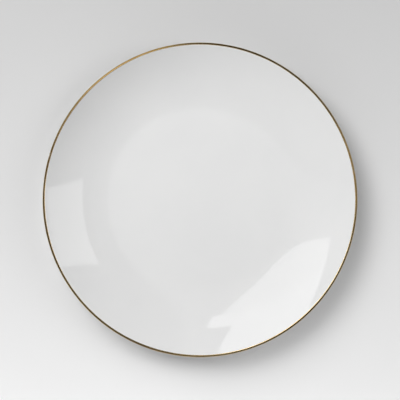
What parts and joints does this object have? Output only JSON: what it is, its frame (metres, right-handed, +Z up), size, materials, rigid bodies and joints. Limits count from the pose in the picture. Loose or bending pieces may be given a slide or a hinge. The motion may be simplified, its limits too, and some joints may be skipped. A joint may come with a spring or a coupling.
{
  "type": "dinner plate",
  "caption": "Round coupe dinner plate of white glazed porcelain with a flat well, a rising curved wall, a foot ring and a gilded lip.",
  "frame": {"origin": "middle of the plate, on the ground face of the foot ring", "axes": "+Z up along the axis of the plate, X and Y across it"},
  "size_m": [0.2672, 0.2672, 0.0261],
  "materials": {
    "porcelain": "fired and bare, fine matt grain",
    "glaze": "high gloss white",
    "gold": "burnished gilding"
  },
  "bodies": {
    "root": {"porcelain_body": "porcelain", "face_glaze": "glaze", "back_glaze": "glaze", "recess_glaze": "glaze", "gold_band": "gold"}
  },
  "joints": []
}
